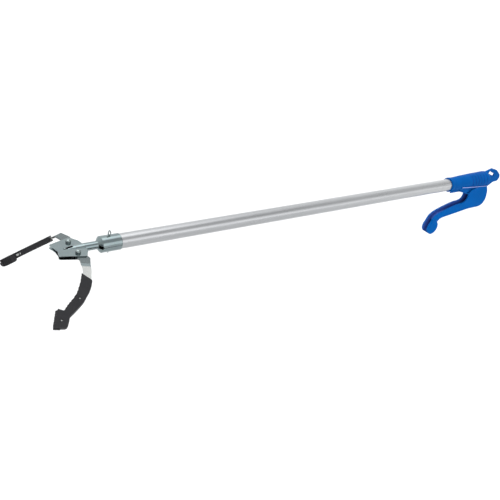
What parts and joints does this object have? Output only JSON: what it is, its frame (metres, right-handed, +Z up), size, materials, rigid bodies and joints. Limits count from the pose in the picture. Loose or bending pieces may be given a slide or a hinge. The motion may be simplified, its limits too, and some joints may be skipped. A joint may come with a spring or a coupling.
{
  "type": "reacher grabber",
  "caption": "Long-reach pick-up tool: squeezing the trigger handle pulls a rod through the pole and closes two curved rubber-tipped jaws.",
  "frame": {"origin": "on the pole's axis, half way along its bare length, where a wall clip would hold it", "axes": "+X along the pole towards the trigger handle, +Z up with the trigger hanging below the pole, jaws opening along Y"},
  "size_m": [0.8956, 0.1762, 0.1076],
  "materials": {
    "pole_aluminium": "satin anodised tube with fine lines along its length",
    "zinc_steel": "pressed sheet with bright zinc plating",
    "jaw_steel": "plated strip steel",
    "pin_steel": "polished pins, rivets and wire",
    "rod_steel": "drawn bar and pressed link",
    "grip_plastic": "injection moulded blue plastic, half gloss",
    "jaw_rubber": "moulded black rubber",
    "nylon": "natural nylon",
    "spring_steel": "spring wire"
  },
  "bodies": {
    "frame": {"pole": "pole_aluminium", "upper_head_shell": "zinc_steel", "lower_head_shell": "zinc_steel", "pivot_rivets": "pin_steel", "pivot_sleeves": "pin_steel", "cotter_pin": "pin_steel", "front_guide": "nylon", "rear_guide": "nylon", "grip": "grip_plastic", "trigger_pin": "pin_steel"},
    "trigger": {"trigger": "grip_plastic"},
    "pull_rod": {"crosshead_link": "rod_steel", "guide_pin": "pin_steel", "pull_rod": "rod_steel", "link_pin": "pin_steel", "spring_collar": "rod_steel", "rod_eye": "rod_steel", "drive_pin": "pin_steel", "return_spring": "spring_steel"},
    "near_jaw": {"near_jaw": "jaw_steel", "near_jaw_rubber": "jaw_rubber"},
    "far_jaw": {"far_jaw": "jaw_steel", "far_jaw_rubber": "jaw_rubber"}
  },
  "joints": [
    {"name": "trigger_squeeze", "type": "hinge", "parent": "frame", "child": "trigger", "pos_m": [0.4, 0, -0.0275], "axis": [0, 1, 0], "range_deg": [0, 18.34], "stiffness_Nm_per_rad": 0.8, "springref_deg": -11.46},
    {"name": "rod_pull", "type": "slide", "parent": "frame", "child": "pull_rod", "axis": [1, 0, 0], "range_m": [0, 0.00888], "deforming": ["return_spring"]},
    {"name": "near_jaw_close", "type": "hinge", "parent": "frame", "child": "near_jaw", "pos_m": [-0.3805, -0.0139, 0], "axis": [0, 0, 1], "range_deg": [-55.71, 0]},
    {"name": "far_jaw_close", "type": "hinge", "parent": "frame", "child": "far_jaw", "pos_m": [-0.3805, 0.0139, 0], "axis": [0, 0, 1], "range_deg": [0, 55.71]}
  ],
  "couplings": [
    {"joint": "rod_pull", "follows": "trigger_squeeze", "m_per_rad": 0.027737},
    {"joint": "near_jaw_close", "follows": "trigger_squeeze", "ratio": -3.0379},
    {"joint": "far_jaw_close", "follows": "trigger_squeeze", "ratio": 3.0379}
  ]
}
